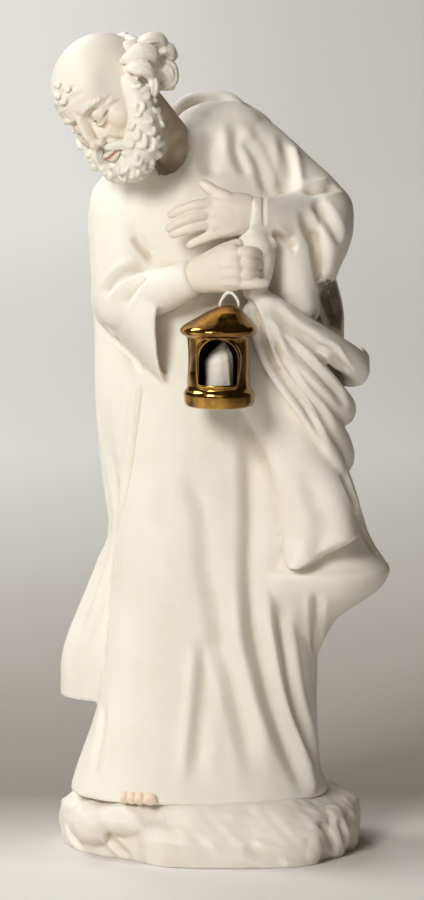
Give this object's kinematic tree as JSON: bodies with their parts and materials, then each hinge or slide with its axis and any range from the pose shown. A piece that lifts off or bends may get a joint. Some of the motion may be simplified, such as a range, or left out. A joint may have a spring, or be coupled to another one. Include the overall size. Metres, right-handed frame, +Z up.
{
  "type": "porcelain saint joseph statue",
  "caption": "Standing porcelain figure of a bowing bearded man in robe and mantle on a low rock, holding a small gilt lantern with a candle.",
  "frame": {"origin": "middle of the flat underside of the rock", "axes": "+Z up, -Y towards the side the figure faces, +X towards the figure's left hand side"},
  "size_m": [0.0937, 0.0792, 0.2317],
  "materials": {
    "bisque": "unglazed ivory bisque, with tinted face, hands and toes",
    "gilt": "glossy gold lustre, darker in the hollows",
    "candle": "unglazed ivory bisque"
  },
  "bodies": {
    "root": {"figure": "bisque", "lantern": "gilt", "candle": "candle"}
  },
  "joints": []
}
